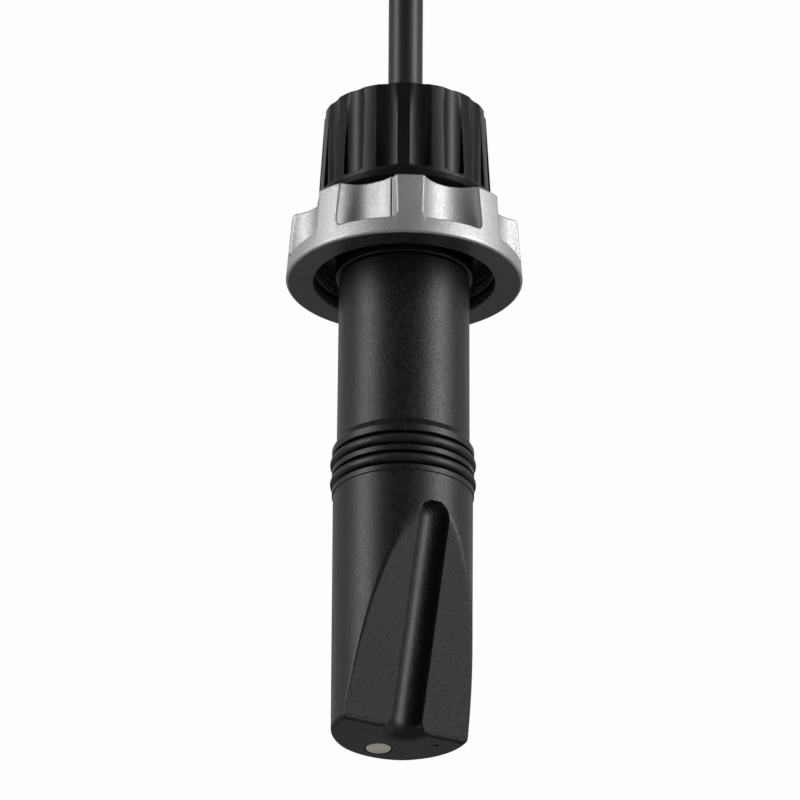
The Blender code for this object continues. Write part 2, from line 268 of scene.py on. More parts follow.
def make_moulded(
    name, base=0.0035, roughness=0.44, grain=0.00040, depth=0.00008, speckle=0.6, shine=0.40
):
    finish = make_plastic(name, shine)
    fine = finish.noise(grain, detail=3.0, roughness=0.62)
    coarse = finish.noise(grain * 2.7, detail=2.0)
    cloud = finish.noise(0.018, detail=3.0)
    specks = (0.62 * fine + 0.38 * coarse).rise(0.40, 0.66)
    dark = (base * (1 - speckle),) * 3
    light = tuple(base * (1 + 1.5 * speckle) * tint for tint in (1.0, 1.0, 1.03))
    finish.wear(Base_Color=finish.blend(specks, dark, light))
    finish.wear(Roughness=roughness - 0.07 + 0.07 * cloud + 0.10 * specks)
    finish.relief(0.75 * fine + 0.25 * coarse, depth)
    return finish.material


def make_gloss(name, base=0.004, roughness=0.33):
    """Smooth moulded plastic with flow clouds and the fine rubs that handling leaves."""
    finish = make_plastic(name, 0.21)
    cloud = finish.noise(0.012, detail=4.0)
    orange = finish.noise(0.0011, detail=2.0)
    rubs = finish.noise(0.0016, detail=5.0, roughness=0.7, place=finish.stretched(1.0, 1.0, 0.12))
    rubbed = rubs.rise(0.56, 0.74)
    colours = (base, base, base), (1.8 * base, 1.8 * base, 1.9 * base)
    finish.wear(Base_Color=finish.blend(cloud * 0.8, *colours))
    finish.wear(Roughness=roughness + 0.06 * cloud + 0.10 * rubbed)
    finish.relief(0.7 * orange + 0.3 * rubbed, 0.00002)
    return finish.material


def make_rubber(name, base=0.006, roughness=0.42):
    """Moulded rubber: a soft shine, a dusting of bloom and a very fine skin."""
    finish = make_plastic(name, 0.36)
    skin = finish.noise(0.00022, detail=2.0)
    bloom = finish.noise(0.0035, detail=4.0, roughness=0.65).rise(0.45, 0.8)
    colours = (base, base, base), (2.2 * base, 2.2 * base, 2.2 * base)
    finish.wear(Base_Color=finish.blend(0.6 * bloom + 0.2 * skin, *colours))
    finish.wear(Roughness=roughness + 0.12 * bloom + 0.05 * skin)
    finish.relief(skin, 0.000012)
    return finish.material


moulded = make_moulded("moulded_black")
milled = make_moulded(
    "milled_black", base=0.0040, roughness=0.49, grain=0.00042, depth=0.00009, speckle=0.8, shine=0.21
)
# The groove's finish is the moulded black made lighter: painted fill light on the groove's walls and
# floor.
groove_painted_fill = make_moulded("groove_painted_fill", base=0.014, roughness=0.47)
gloss = make_gloss("cap_black")
rubber = make_rubber("moulded_rubber")
plastics = [moulded, milled, groove_painted_fill, gloss, rubber]
print("plastics:", [material.name for material in plastics])

# %% [markdown]
# ## Metal
#
# The union nut is cast and bead-blasted, so it is bright but has no mirror image in it, only a grain
# that sparkles. Its flat underside is black, and both the underside and the walls of its hole are made
# with the plastic's finish. The walls are dark grey, a lighter copy of that black which is painted
# light: it stands in for the light that reaches them from below. The contact in the tip is a small
# turned disc, with the faint rings that a lathe leaves. Metals are given their colour by Base Color
# and are fully metallic, and a patch of rubbed metal is a patch of lower roughness.

# %% Metal finishes
CONTACT_PLACE = (-0.00585, 0.0096)
LATHE_PITCH = 0.00016


def make_blasted(name, shade=0.40, roughness=0.54):
    """Cast and bead-blasted metal: a grain of small beads and pits, with no mirror image in it."""
    finish = Finish(name, Metallic=1.0)
    beads = finish.noise(0.00042, detail=3.0, roughness=0.6)
    pits = finish.node("TexVoronoi", Vector=finish.place, Scale=1700.0)
    cloud = finish.noise(0.009, detail=4.0, roughness=0.6)
    spark = (0.7 * beads + 0.3 * pits).rise(0.28, 0.72)
    dim = (0.80 * shade,) * 3
    bright = tuple(shade * 1.12 * tint for tint in (1.0, 1.0, 1.01))
    finish.wear(Base_Color=finish.blend(0.75 * spark + 0.25 * cloud, dim, bright))
    finish.wear(Roughness=roughness + 0.10 * cloud - 0.05 * spark)
    finish.relief(spark, 0.00002)
    return finish.material


def make_turned(name, colour, roughness, centre=(0.0, 0.0)):
    """Lathe-turned metal: rings about an upright axis, and the rubs of handling."""
    finish = Finish(name, Metallic=1.0)
    across = finish.x - centre[0]
    along = finish.y - centre[1]
    radius = (across * across + along * along).root()
    wander = finish.noise(0.0012, detail=3.0)
    rings = 0.5 + 0.5 * (radius * (2 * math.pi / LATHE_PITCH) + 5.0 * wander).sine()
    cloud = finish.noise(0.0016, detail=4.0, roughness=0.65)
    shade = (0.4 * rings + 0.6 * cloud).rise(0.15, 0.85)
    darker = tuple(0.80 * part for part in colour)
    lighter = tuple(min(1.0, 1.10 * part) for part in colour)
    finish.wear(Base_Color=finish.blend(shade, darker, lighter))
    finish.wear(Roughness=roughness + 0.10 * cloud - 0.06 * rings)
    finish.relief(rings, 0.000004)
    return finish.material


silver = make_blasted("blasted_silver")
under_black = make_moulded("nut_core_black", base=0.03, roughness=0.36, grain=0.0004, depth=0.00001)
# The walls of the nut's hole: the black made dark grey, as painted light that stands in for light from
# below.
bore_painted_light = make_moulded("nut_bore_painted_light", base=0.14, roughness=0.34, grain=0.0004, depth=0.00001)
contact_metal = make_turned("turned_contact", (0.78, 0.72, 0.63), roughness=0.42, centre=CONTACT_PLACE)
nickel = make_turned("nickel_plate", (0.70, 0.69, 0.66), roughness=0.28)
steel = make_blasted("shield_steel", shade=0.55, roughness=0.3)
gold = make_turned("gold_plate", (0.86, 0.62, 0.25), roughness=0.24)
print("metals:", [material.name for material in (silver, contact_metal, nickel, steel, gold)])
print("in the nut:", under_black.name, bore_painted_light.name)

# %% [markdown]
# ## Round pieces
#
# Most pieces are turned: one outline swept about the axis. A real edge is never quite sharp, so the
# outline's corners carry a small radius, and a helper turns each such corner into an arc. The skin is
# then a plain grid of rows and columns. A general grid builder serves the shapes that aren't round,
# too, because each row may be any closed loop.

# %% Grid and lathe helpers
ARC_STEPS = 4
QUARTER = [math.pi / 2 * k / ARC_STEPS for k in range(ARC_STEPS + 1)]


def rounded(outline, loop=True):
    """Points of an outline of (radius, height, corner radius), with each rounded corner as an arc."""
    count = len(outline)
    points = []
    for i, (radius, height, corner) in enumerate(outline):
        here = Vector((radius, height))
        if not corner or (not loop and i in (0, count - 1)):
            points.append(here)
            continue
        before = Vector(outline[i - 1][:2]) - here
        after = Vector(outline[(i + 1) % count][:2]) - here
        half = before.angle(after) / 2
        back = min(corner / math.tan(half), 0.49 * before.length, 0.49 * after.length)
        true_corner = back * math.tan(half)
        inward = (before.normalized() + after.normalized()).normalized()
        middle = here + inward * (true_corner / math.sin(half))
        start = here + before.normalized() * back - middle
        turn = start.angle_signed(here + after.normalized() * back - middle)
        for k in range(ARC_STEPS + 1):
            cosine, sine = math.cos(-turn * k / ARC_STEPS), math.sin(-turn * k / ARC_STEPS)
            swung = Vector((start.x * cosine - start.y * sine, start.x * sine + start.y * cosine))
            points.append(middle + swung)
    return [(point.x, point.y) for point in points]


def make_piece(name, bm, finishes, body, stands_for, sharp=50.0):
    """Turns a bmesh into a shaded piece that rides on its body and stands for its frame nodes."""
    bmesh.ops.remove_doubles(bm, verts=bm.verts[:], dist=2e-7)
    bmesh.ops.recalc_face_normals(bm, faces=bm.faces[:])
    mesh = bpy.data.meshes.new(name)
    bm.to_mesh(mesh)
    bm.free()
    for finish in finishes:
        mesh.materials.append(finish)
    mesh.shade_smooth()
    mesh.set_sharp_from_angle(angle=math.radians(sharp))
    piece = bpy.data.objects.new(name, mesh)
    scene.collection.objects.link(piece)
    even = piece.modifiers.new("even_shading", "WEIGHTED_NORMAL")
    even.keep_sharp = True
    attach(piece, body)
    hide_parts(*stands_for)
    return piece


def grid(rows, ring=True, ends=False):
    """A skin over rows of points. Columns always close, ring joins the last row to the first."""
    bm = bmesh.new()
    hoops = [[bm.verts.new(point) for point in row] for row in rows]
    pairs = list(zip(hoops, hoops[1:])) + ([(hoops[-1], hoops[0])] if ring else [])
    for hoop, following in pairs:
        for j in range(len(hoop)):
            k = (j + 1) % len(hoop)
            bm.faces.new((hoop[j], hoop[k], following[k], following[j]))
    if ends:
        bm.faces.new(hoops[0])
        bm.faces.new(hoops[-1])
    return bm


def circle(count):
    return [2 * math.pi * k / count for k in range(count)]


def turned_rows(points, centre, columns):
    """One level ring of points for each (radius, height)."""
    x, y = centre
    turns = circle(columns)
    return [[(x + r * math.sin(t), y - r * math.cos(t), z) for t in turns] for r, z in points]


def lathe(
    name, outline, finish, body, stands_for, centre=(0.0, 0.0), columns=128, solid=False
):
    """A turned piece. A solid outline runs from axis to axis, and its two ends are filled."""
    rows = turned_rows(rounded(outline, loop=not solid), centre, columns)
    bm = grid(rows, ring=not solid, ends=solid)
    return make_piece(name, bm, [finish], body, stands_for)


def make_seal(name, ring_r, cord_r, height, stands_for, centre=(0.0, 0.0)):
    """An O-ring, a full torus."""
    outline = [(ring_r + cord_r * math.cos(t), height + cord_r * math.sin(t), 0) for t in circle(28)]
    return lathe(name, outline, rubber, "probe", [stands_for], centre, columns=144)


print("a rounded corner becomes", ARC_STEPS + 1, "points")

# %% [markdown]
# ## Tube, neck and seals
#
# The plain tube has only a small break on its edges. It comes down a little further than the frame's
# tube, so that the joint to the head below shows as a hairline. The neck carries the collar, the flange
# that the union nut pulls on, and the thread that the cap climbs. The two O-rings stand a little proud
# of the lands between them, which is what makes them seal.

# %% Tube
TUBE_EXTRA = 0.00022
TUBE_BORE_R = 0.0150
tube_low, tube_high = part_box("upper_tube")
lathe(
    "plain_tube",
    [
        (0.0169, tube_high.z, 0.0002),
        (tube_high.x, tube_low.z - TUBE_EXTRA, 0.0001),
        (TUBE_BORE_R, tube_low.z - TUBE_EXTRA, 0),
        (TUBE_BORE_R, tube_high.z, 0),
    ],
    moulded, "probe", ["upper_tube"], columns=192,
)
print("tube, mm:", round(1000 * (tube_high.z - tube_low.z), 1), "long")


# %% Neck with collar, flange and thread
def neck_outline():
    root, crest, pitch, turns = 0.0176, 0.0184, 0.0025, 4
    outline = [(0.0099, 0.0300, 0.0002), (0.0168, 0.0300, 0.0003), (root, 0.0287, 0)]
    for i in range(turns):
        top = 0.0285 - i * pitch
        outline += [
            (root, top, 0.0002),
            (crest, top - 0.35 * pitch, 0.00012),
            (crest, top - 0.55 * pitch, 0.00012),
            (root, top - 0.9 * pitch, 0.0002),
        ]
    outline += [
        (0.0185, 0.0178, 0.0002), (0.0185, 0.0167, 0.0002), (0.0164, 0.0167, 0.0002),
        (0.0164, 0.0139, 0.0002), (0.0185, 0.0139, 0.0002), (0.0185, 0.0043, 0.0003),
        (0.0224, 0.0043, 0.0003), (0.0224, 0.0020, 0.0003), (0.0178, 0.0020, 0.0002),
        (0.0178, -0.00735, 0.0003), (0.0147, -0.00735, 0), (0.0147, -0.0150, 0.0002),
        (0.0126, -0.0150, 0.0002), (0.0126, 0.0150, 0), (0.0050, 0.0150, 0.0002),
        (0.0050, 0.0219, 0), (0.0071, 0.0219, 0),
    ]
    return outline


lathe("threaded_neck", neck_outline(), moulded, "probe", ["neck_housing"], columns=160)
print("neck outline has", len(neck_outline()), "corners")

# %% Seals and washers
make_seal("o_ring_top", 0.01746, 0.00131, -0.0605, "o_ring_upper")
make_seal("o_ring_bottom", 0.01746, 0.00131, -0.06596, "o_ring_lower")
make_seal("spigot_ring", 0.0143, 0.00055, -0.0493, "spigot_seal")
make_seal("cap_ring", 0.01775, 0.0011, 0.0153, "cap_seal")
make_seal("connector_ring", 0.0068, 0.00045, 0.1252, "connector_seal")
make_seal("contact_ring", 0.0018, 0.00045, -0.1323, "contact_seal", centre=CONTACT_PLACE)


def flat_ring(inner, outer, bottom, top, edge):
    return [(outer, top, edge), (outer, bottom, edge), (inner, bottom, edge), (inner, top, edge)]


ivory = make_moulded("slip_ivory", base=0.62, roughness=0.42, grain=0.0005, depth=0.00001, speckle=0.04)
seat = flat_ring(0.0181, 0.0220, 0.0, 0.0017, 0.0003)
lathe("seat_gasket", seat, rubber, "probe", ["flange_gasket"])
slip = flat_ring(0.0189, 0.0223, 0.0046, 0.0055, 0.0002)
lathe("slip_washer", slip, ivory, "nut_carrier", ["thrust_washer"])
thrust = flat_ring(0.0050, 0.0105, 0.0309, 0.0326, 0.0003)
lathe("thrust_ring", thrust, ivory, "cap_carrier", ["cap_thrust_ring"])
bush = [
    (0.0093, 0.0306, 0.0003), (0.0093, 0.0288, 0.0004), (0.0066, 0.0222, 0.0003),
    (GLAND_R, 0.0222, 0.0002), (GLAND_R, 0.0306, 0.0002),
]
lathe("gland_bush", bush, rubber, "probe", ["gland_seal"])

# %% [markdown]
# ## The union nut
#
# Eight scallops are milled down the nut's side and stop on a ledge above a plain band, so a hand gets
# a grip. Cutting them with Booleans would leave edges that are hard to round. Instead each column of
# the grid gets its own outline: the wall is the lesser of the cone and the scallop, joined by a smooth
# minimum that rounds the edge where they meet. Columns crowd together where the wall turns. One
# scallop holds a raised pad, which ends in a sharp step beside the front lobe.

# %% Union nut outline
NOWHERE = 1.0
NUT_TOP, NUT_FOOT = 0.0090, -0.0083
NUT_TOP_R, NUT_FOOT_R = 0.0293, 0.0308
FIRST_LOBE = math.radians(2.8)
LOBES = 8
SCALLOP_R, SCALLOP_CENTRE = 0.0107, 0.0357
SCALLOP_HALF = math.radians(15.9)
SCALLOP_BREAK = 0.0007
LEDGE_Z = -0.0036
LEDGE_CORNER = 0.0012
PAD_START, PAD_FULL = math.radians(-30), math.radians(-16)
PAD_EDGE, PAD_STEP = math.radians(-7.6), math.radians(0.9)
PAD_HEIGHT = 0.0007
LOBE_PITCH = 2 * math.pi / LOBES


def smooth_least(a, b, width):
    """The lesser of two numbers, rounded where they are within width of each other."""
    overlap = max(width - abs(a - b), 0.0) / width
    return min(a, b) - overlap * overlap * width / 4


def smooth_step(value, start, end):
    share = min(max((value - start) / (end - start), 0.0), 1.0)
    return share * share * (3 - 2 * share)


def spaced(start, end, count):
    return [start + (end - start) * k / (count - 1) for k in range(count)]


def shoulder(side, top, edge):
    """The rounded edge between the top and a side whose radius at a height is side(height)."""
    heights = [top - edge * (1 - math.cos(turn)) for turn in QUARTER]
    return [(side(z) - edge * (1 - math.sin(turn)), z) for z, turn in zip(heights, QUARTER)]


def ledge_height(margin, foot, corner):
    """Where a hollow's wall meets its ledge: a rounded corner, margin in from the hollow's edge."""
    margin = min(max(margin, 0.0), corner)
    return foot + corner - math.sqrt(corner**2 - (corner - margin) ** 2)


def step_out(wall, rim, ledge, hollow, lip):
    """From a wall over a ledge to its rim, with a hollow corner and then a rounded lip."""
    step = []
    for turn in QUARTER:
        step.append((wall + hollow * (1 - math.cos(turn)), ledge + hollow * (1 - math.sin(turn))))
    for turn in QUARTER:
        radius = rim - lip * (1 - math.sin(turn))
        step.append((max(radius, wall), ledge - lip * (1 - math.cos(turn))))
    return step


def nut_cone(z):
    return NUT_TOP_R + (NUT_FOOT_R - NUT_TOP_R) * (NUT_TOP - z) / (NUT_TOP - NUT_FOOT)


def scallop(azimuth, z):
    """Radius of the hollow at an azimuth, and how far the azimuth is inside the hollow's edge."""
    off = (azimuth - FIRST_LOBE) % LOBE_PITCH - LOBE_PITCH / 2
    inside = SCALLOP_R**2 - (SCALLOP_CENTRE * math.sin(off)) ** 2
    if inside <= 0:
        return NOWHERE, 0.0
    radius = SCALLOP_CENTRE * math.cos(off) - math.sqrt(inside)
    if -LOBE_PITCH < azimuth - FIRST_LOBE < 0:
        edge = PAD_EDGE - max(LEDGE_Z + LEDGE_CORNER - z, 0.0) / NUT_FOOT_R
        pad = smooth_step(azimuth, PAD_START, PAD_FULL)
        pad *= 1 - smooth_step(azimuth, edge, edge + PAD_STEP)
        radius += PAD_HEIGHT * pad
    return radius, (SCALLOP_HALF - abs(off)) * NUT_FOOT_R


def nut_side(azimuth, z):
    return smooth_least(nut_cone(z), scallop(azimuth, z)[0], SCALLOP_BREAK)


def nut_outline(azimuth):
    """The nut's section at an azimuth, from the lip's hole over the top and down the side."""
    outline = [(0.0190, 0.0062), (0.0190, 0.0087), (0.0193, NUT_TOP)]
    outline += shoulder(lambda z: nut_side(azimuth, z), NUT_TOP, 0.0006)
    ledge = ledge_height(scallop(azimuth, 0.0)[1], LEDGE_Z, LEDGE_CORNER)
    wall = nut_side(azimuth, LEDGE_Z + LEDGE_CORNER)
    hollow, lip = 0.0009, 0.0005
    shrink = min(1.0, max(nut_cone(ledge) - wall, 0.0) / (hollow + lip))
    hollow, lip = hollow * shrink, lip * shrink
    heights = spaced(outline[-1][1], ledge + hollow, 15)[1:-1]
    outline += [(nut_side(azimuth, z), z) for z in heights]
    return outline + step_out(wall, nut_cone(ledge), ledge, hollow, lip) + nut_foot()


def nut_foot():
    """The plain band, the rounded foot and the inside, the same all round."""
    edge, root, crest = 0.0009, 0.0229, 0.02262
    foot = [(nut_cone(z), z) for z in (-0.0056, -0.0070)]
    for turn in spaced(0.0, math.pi / 2, 6):
        across = nut_cone(NUT_FOOT + edge) - edge * (1 - math.cos(turn))
        foot.append((across, NUT_FOOT + edge * (1 - math.sin(turn))))
    inside = rounded(
        [
            (0.0290, NUT_FOOT, 0), (0.0235, NUT_FOOT, 0.0004), (0.0235, -0.0061, 0.0002),
            (0.0247, -0.0061, 0), (0.0247, -0.0049, 0), (root, -0.0049, 0.0003), (root, -0.0042, 0),
        ],
        loop=False,
    )
    thread = []
    for k in range(3):
        low = -0.0040 + 0.0019 * k
        thread += [(root, low), (crest, low + 0.0006), (crest, low + 0.0009), (root, low + 0.0015)]
    return foot + inside + thread + [(root, 0.0058), (0.0194, 0.0058)]


print("nut outline points:", len(nut_outline(0.1)), len(nut_outline(FIRST_LOBE)))

# %% Union nut skin
# Degrees from a hollow's middle. The columns crowd together where the wall turns.
NUT_COLUMNS = (
    0, 1.5, 3, 4.5, 6, 7.5, 9, 10, 11, 11.6, 12, 12.4, 12.8, 13.2, 13.6, 14.1, 14.6, 15, 15.4, 15.7,
    16, 16.3, 16.7, 17.2, 18, 20, 22.5,
)


def crowded_columns(count, first, offsets):
    """Azimuths mirrored about each hollow's middle, for a ring of equal hollows."""
    pitch = 2 * math.pi / count
    half = sorted({round(sign * math.radians(off), 7) for off in offsets for sign in (1, -1)})
    half = [off for off in half if off > -pitch / 2 + 1e-6]
    return [first + pitch * (i + 0.5) + off for i in range(count) for off in half]


def swept(outlines, columns):
    """Rows of points from one outline of (radius, height) for each column's azimuth."""
    return [
        [(r * math.sin(t), -r * math.cos(t), z) for (r, z), t in zip(level, columns)]
        for level in zip(*outlines)
    ]


def make_union_nut():
    columns = crowded_columns(LOBES, FIRST_LOBE, NUT_COLUMNS)
    outlines = [nut_outline(azimuth - 2 * math.pi * (azimuth > math.pi)) for azimuth in columns]
    finishes = [silver, under_black, bore_painted_light]
    nut = make_piece(
        "scalloped_nut", grid(swept(outlines, columns)), finishes, "union_nut",
        ["union_nut"], sharp=40.0,
    )
    # Inside the nut, upright faces take the grey with painted light from below, and level faces take the
    # black.
    for face in nut.data.polygons:
        reach, height = face.center.xy.length, face.center.z
        underside = reach < 0.0300 and height < NUT_FOOT + 0.0004
        inside = reach < 0.0250 and height < 0.0058
        if underside or inside:
            face.material_index = 2 if abs(face.normal.z) < 0.7 else 1
    return nut


union_nut = make_union_nut()
print("union nut faces:", len(union_nut.data.polygons))

# %% [markdown]
# ## The screw cap
#
# The cap is a gloss moulding with fifteen shallow flutes. The same kind of grid makes it: the cone is
# the lands, and each flute is a hollow floor that is deepest at the foot and fades out near the top,
# because the cone narrows while the floor doesn't. A small boss on the top guides the cable.

# %% Cap
CAP_FOOT, CAP_TOP = 0.0126, 0.0396
CAP_FOOT_R, CAP_TOP_R = 0.0227, 0.0211
FLUTES = 15
FIRST_LAND = math.radians(-1.0)
LAND_HALF = math.radians(4.2)
FLOOR_R, FLOOR_EDGE_R = 0.0207, 0.02145
FLUTE_FOOT, FLUTE_CORNER = 0.0150, 0.0009
LAND_BREAK = 0.00025
# Degrees from a flute's middle.
CAP_COLUMNS = (
    0, 1.2, 2.4, 3.6, 4.8, 5.8, 6.6, 7.1, 7.4, 7.6, 7.75, 7.9, 8.05, 8.3, 8.8, 9.8, 11, 12,
)


def cap_cone(z):
    return CAP_TOP_R + (CAP_FOOT_R - CAP_TOP_R) * (CAP_TOP - z) / (CAP_TOP - CAP_FOOT)


def flute_floor(azimuth):
    """Radius of the flute's floor at an azimuth, and how far the azimuth is inside the flute."""
    pitch = 2 * math.pi / FLUTES
    half = pitch / 2 - LAND_HALF
    off = abs((azimuth - FIRST_LAND) % pitch - pitch / 2)
    floor = FLOOR_R + (FLOOR_EDGE_R - FLOOR_R) * (off / half) ** 2
    wall = smooth_step(off, half * 0.985, half * 1.03) * 0.004
    return floor + wall, (half - off) * FLOOR_R


def cap_outline(azimuth):
    """The cap's section at an azimuth, from the cable's hole over the top, down the side and inside."""
    floor, margin = flute_floor(azimuth)

    def side(z):
        return smooth_least(cap_cone(z), floor, LAND_BREAK)

    hole, root, crest, roof = 0.0049, 0.01915, 0.0188, 0.0329
    outline = rounded(
        [
            (hole, roof, 0), (hole, 0.0426, 0.0004), (0.0085, 0.0426, 0.0006),
            (0.0105, CAP_TOP, 0.0008), (0.0180, CAP_TOP, 0),
        ],
        loop=False,
    )
    outline += shoulder(side, CAP_TOP, 0.0005)
    ledge = ledge_height(margin, FLUTE_FOOT, FLUTE_CORNER)
    depth = max(cap_cone(ledge) - side(ledge), 0.0)
    hollow, lip = (radius * min(1.0, depth / 0.0008) for radius in (0.0003, 0.0002))
    outline += [(side(z), z) for z in spaced(outline[-1][1], ledge + hollow, 11)[1:-1]]
    outline += step_out(side(ledge + hollow), cap_cone(ledge), ledge, hollow, lip)
    outline += rounded(
        [
            (cap_cone(0.0145), 0.0145, 0), (CAP_FOOT_R, 0.0140, 0.0004), (0.0218, CAP_FOOT, 0.0003),
            (root, CAP_FOOT, 0.0003), (root, 0.0150, 0),
        ],
        loop=False,
    )
    for k in range(4):
        low = 0.0205 + 0.0025 * k
        outline += [(root, low), (crest, low + 0.0008), (crest, low + 0.0012), (root, low + 0.0020)]
    return outline + [(root, roof)]


def make_cap():
    columns = crowded_columns(FLUTES, FIRST_LAND, CAP_COLUMNS)
    skin = grid(swept([cap_outline(azimuth) for azimuth in columns], columns))
    return make_piece("fluted_cap", skin, [gloss], "cap", ["cap_nut"], sharp=40.0)


print("cap faces:", len(make_cap().data.polygons))

# %% [markdown]
# ## The sensor head
#
# The head starts as a turned body with two O-ring grooves. A slanted flat is milled away on one side,
# down to near the axis at the tip, and a round-bottomed groove runs down the flat and out through the
# tip. Seen along the flat's own direction every one of those cuts is a depth over a plane, so the
# cuts are made on the grid's points: each point is pushed back to the least of the cylinder, the flat,
# its two side bevels and the groove, with a smooth minimum to break the edges. Columns crowd together
# at the groove's rims, and rows are close all the way down the flat.

# %% Sensor head cuts
HEAD_R = 0.0180
TIP_Z = -0.1353
FACE_OUT = Vector((0.468, -0.884, 0.0)).normalized()
FACE_SIDE = Vector((-FACE_OUT.y, FACE_OUT.x, 0.0))
FACE_LEAN = math.radians(15.7)
FACE_FOOT = 0.0022
GROOVE_R = 0.00435
GROOVE_OUT = 0.0009
GROOVE_TOP_Z = -0.0815
FLARE_HEIGHT, FLARE_WIDTH, FLARE_DEPTH = 0.0036, 0.75, 0.4
FACE_BREAK, GROOVE_BREAK = 0.0004, 0.0005
CUTS_TOP_Z = -0.0790
BEVEL_START = Vector((0.0039, -0.0809))
BEVEL_ENDS = {-1: Vector((0.0107, -0.0915)), 1: Vector((0.0098, -0.0913))}
BEVEL_TILTS = {-1: math.radians(11.0), 1: math.radians(7.0)}
MARK_PLACE = (0.00865, 0.0070)


def face_depth(z):
    return FACE_FOOT + (z - TIP_Z) * math.tan(FACE_LEAN)


def bevel_depth(u, z, side):
    """The slim second flat beside the main one, which begins at a line that slants down and out."""
    along = (BEVEL_ENDS[side] - BEVEL_START).normalized()
    offset = Vector((side * u, z)) - BEVEL_START
    beyond = max(offset.x * -along.y + offset.y * along.x, 0.0)
    return face_depth(z) - beyond * math.tan(BEVEL_TILTS[side]) / math.cos(FACE_LEAN)


def groove_depth(u, z):
    """The groove's floor: a round channel that ends in a ball above and flares out at the tip."""
    flare = max(FLARE_HEIGHT - (z - TIP_Z), 0.0)
    flare = FLARE_HEIGHT - math.sqrt(FLARE_HEIGHT**2 - flare**2)
    radius = GROOVE_R + FLARE_WIDTH * flare
    if abs(u) >= radius:
        return NOWHERE
    middle = face_depth(z) + GROOVE_OUT / math.cos(FACE_LEAN)
    bottom = middle - math.sqrt(radius**2 - u**2) / math.cos(FACE_LEAN)
    ball_z = GROOVE_TOP_Z - GROOVE_OUT * math.sin(FACE_LEAN)
    ball_out = face_depth(GROOVE_TOP_Z) + GROOVE_OUT * math.cos(FACE_LEAN)
    along = (z - ball_z) * math.cos(FACE_LEAN) + (bottom - ball_out) * math.sin(FACE_LEAN)
    if along <= 0:
        return bottom - FLARE_DEPTH * flare
    left = GROOVE_R**2 - u**2 - (z - ball_z) ** 2
    return ball_out - math.sqrt(left) if left > 0 else NOWHERE


def cut_head(u, out, z, inset):
    """How far out a point of the head lies once the flat, the bevels and the groove are cut."""
    flat = min(face_depth(z), bevel_depth(u, z, -1), bevel_depth(u, z, 1)) - 0.5 * inset
    out = smooth_least(out, flat, FACE_BREAK)
    return smooth_least(out, groove_depth(u, z), GROOVE_BREAK)


face_top = TIP_Z + (HEAD_R - FACE_FOOT) / math.tan(FACE_LEAN)
print("the flat leaves the cylinder at z, mm:", round(1000 * face_top, 1))

# %% Sensor head skin
# Distances from the groove's middle, in millimetres, where columns cross it and its rims.
RIM_COLUMNS = (
    0, 0.6, 1.2, 1.8, 2.4, 2.9, 3.3, 3.6, 3.85, 4.02, 4.14, 4.22, 4.28, 4.36, 4.48, 4.66, 4.9, 5.2, 5.6,
    6.1, 6.6,
)


def head_columns():
    near = [math.asin(u / (1000 * HEAD_R)) for u in RIM_COLUMNS]
    step = math.radians(1.7)
    far = [near[-1] + step * k for k in range(1, int((math.pi - near[-1]) / step))]
    half = near + far
    return [-angle for angle in reversed(half[1:])] + half + [math.pi]


def head_rows():
    """(radius, height) from the bore over the spigot and down the outside to the tip."""
    upper = rounded(
        [
            (0.0123, -0.0785, 0), (0.0123, -0.0460, 0.0002), (0.0147, -0.0460, 0.0003),
            (0.0147, -0.0486, 0), (0.0136, -0.0486, 0), (0.0136, -0.0500, 0), (0.0147, -0.0500, 0),
            (0.0147, -0.0548, 0), (0.0171, -0.0548, 0.0001), (0.0183, -0.0567, 0.0004),
            (0.0183, -0.0586, 0.0003), (0.0158, -0.0586, 0.0002), (0.0158, -0.0624, 0.0002),
            (0.0183, -0.0624, 0.0003), (0.0183, -0.06406, 0.0003), (0.0158, -0.06406, 0.0002),
            (0.0158, -0.06786, 0.0002), (0.0183, -0.06786, 0.0003), (0.0183, -0.06941, 0.0002),
            (HEAD_R, -0.0696, 0.0002), (HEAD_R, -0.0750, 0),
        ],
        loop=False,
    )
    straight = [(HEAD_R, z) for z in spaced(-0.0755, TIP_Z + 0.0045, 150)]
    foot = [(HEAD_R, z) for z in spaced(TIP_Z + 0.0042, TIP_Z + 0.0016, 9)]
    tip_edge = 0.0014
    for turn in spaced(0.0, math.pi / 2, 6):
        across = HEAD_R - tip_edge * (1 - math.cos(turn))
        foot.append((across, TIP_Z + tip_edge * (1 - math.sin(turn))))
    return upper, straight + foot


def head_point(angle, radius, z, cutting):
    """A point of the skin. Where the head is cut, the columns near the groove run straight down."""
    if not cutting:
        u, out = radius * math.sin(angle), radius * math.cos(angle)
    else:
        full = HEAD_R * math.sin(angle)
        share = smooth_step(abs(full), 0.007, 0.013)
        u = full * (1 - share) + radius * math.sin(angle) * share
        out = cut_head(u, radius * math.cos(angle), z, HEAD_R - radius)
    place = FACE_SIDE * u + FACE_OUT * out
    return (place.x, place.y, z)


def cut_away(piece, outline, centre, columns=48):
    """Takes a small turned shape out of a piece, for good."""
    bm = grid(turned_rows(outline, centre, columns), ring=False, ends=True)
    bmesh.ops.recalc_face_normals(bm, faces=bm.faces[:])
    tool = bpy.data.meshes.new("tool")
    bm.to_mesh(tool)
    bm.free()
    cutter = bpy.data.objects.new("tool", tool)
    scene.collection.objects.link(cutter)
    cutting = piece.modifiers.new("cutting", "BOOLEAN")
    cutting.object = cutter
    cutting.solver = "EXACT"
    even = piece.modifiers["even_shading"]
    even.show_viewport = False
    whole = piece.evaluated_get(bpy.context.evaluated_depsgraph_get())
    piece.data = bpy.data.meshes.new_from_object(whole)
    piece.modifiers.remove(cutting)
    even.show_viewport = True
    bpy.data.objects.remove(cutter)


